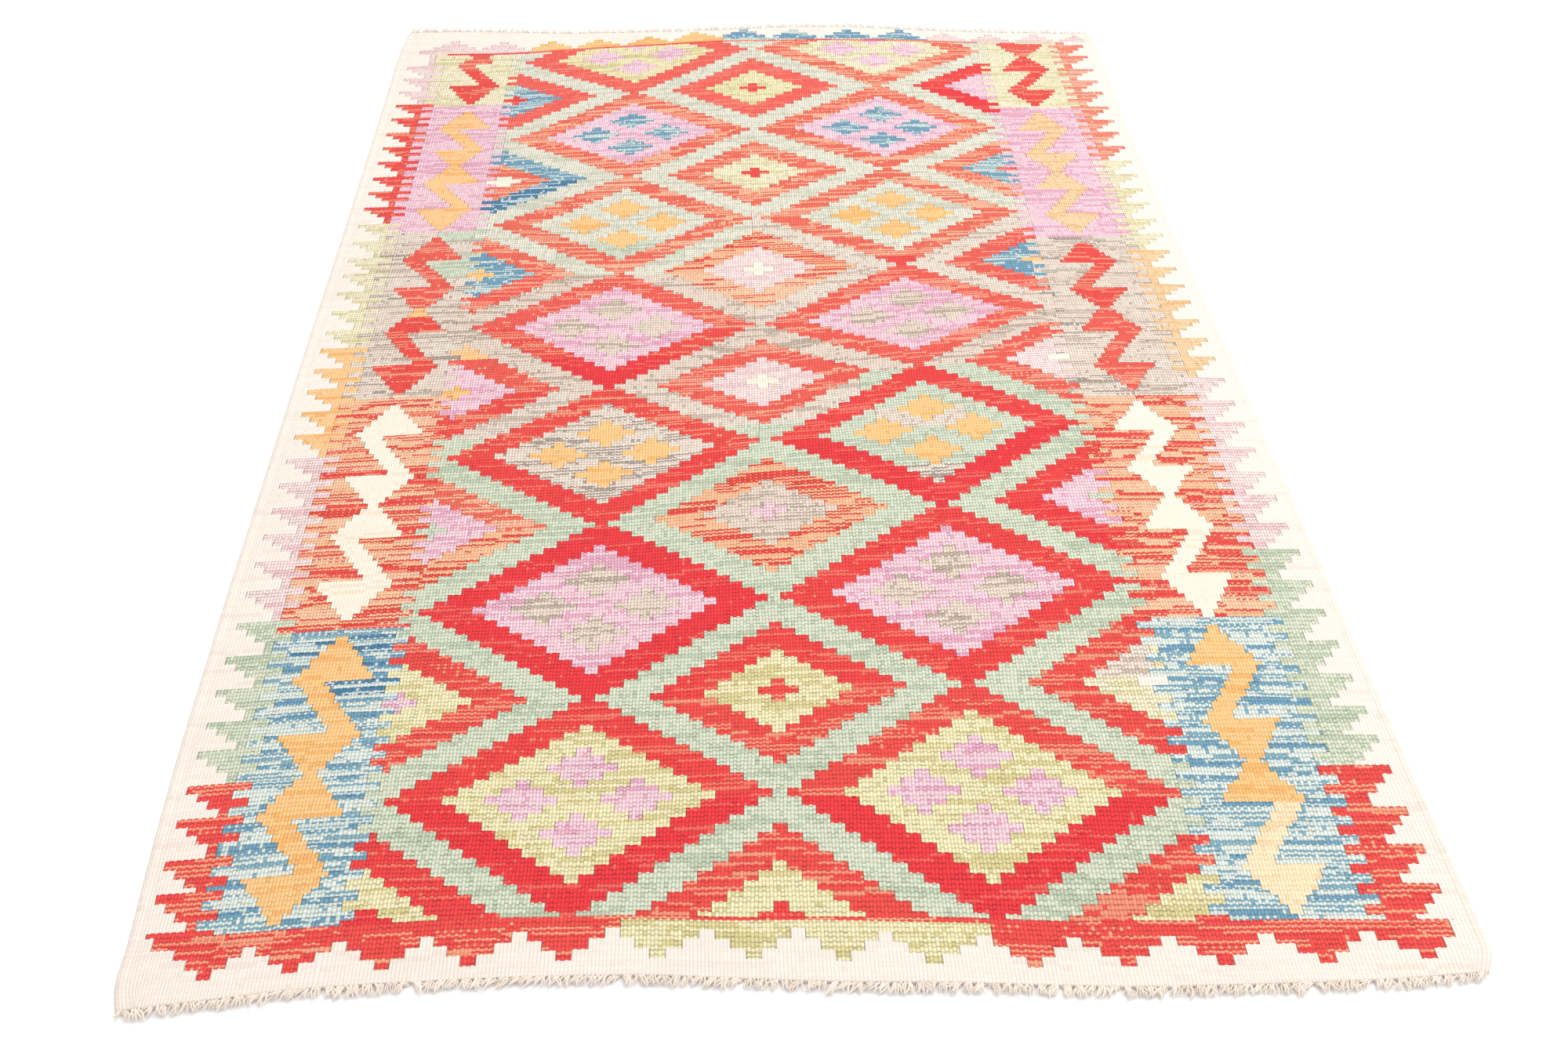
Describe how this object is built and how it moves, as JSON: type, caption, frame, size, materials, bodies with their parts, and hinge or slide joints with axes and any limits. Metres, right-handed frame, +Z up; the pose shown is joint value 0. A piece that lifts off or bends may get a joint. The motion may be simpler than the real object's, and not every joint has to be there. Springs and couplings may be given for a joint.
{
  "type": "kilim rug",
  "caption": "Flat-woven rectangular rug lying flat, with knotted warp ends and a short fringe along both woven ends.",
  "frame": {"origin": "centre of the rug's bounding box, on the floor it lies on", "axes": "+Y along the warps to the far end, +X across to the right, +Z up out of the pattern side"},
  "size_m": [1.054, 1.6614, 0.0043],
  "materials": {
    "kilim_cloth": "woven wool in many dyed colours, matt",
    "warp_yarn": "undyed twisted yarn, matt"
  },
  "bodies": {
    "root": {"cloth": "kilim_cloth", "fringe_near": "warp_yarn", "fringe_far": "warp_yarn"}
  },
  "joints": []
}
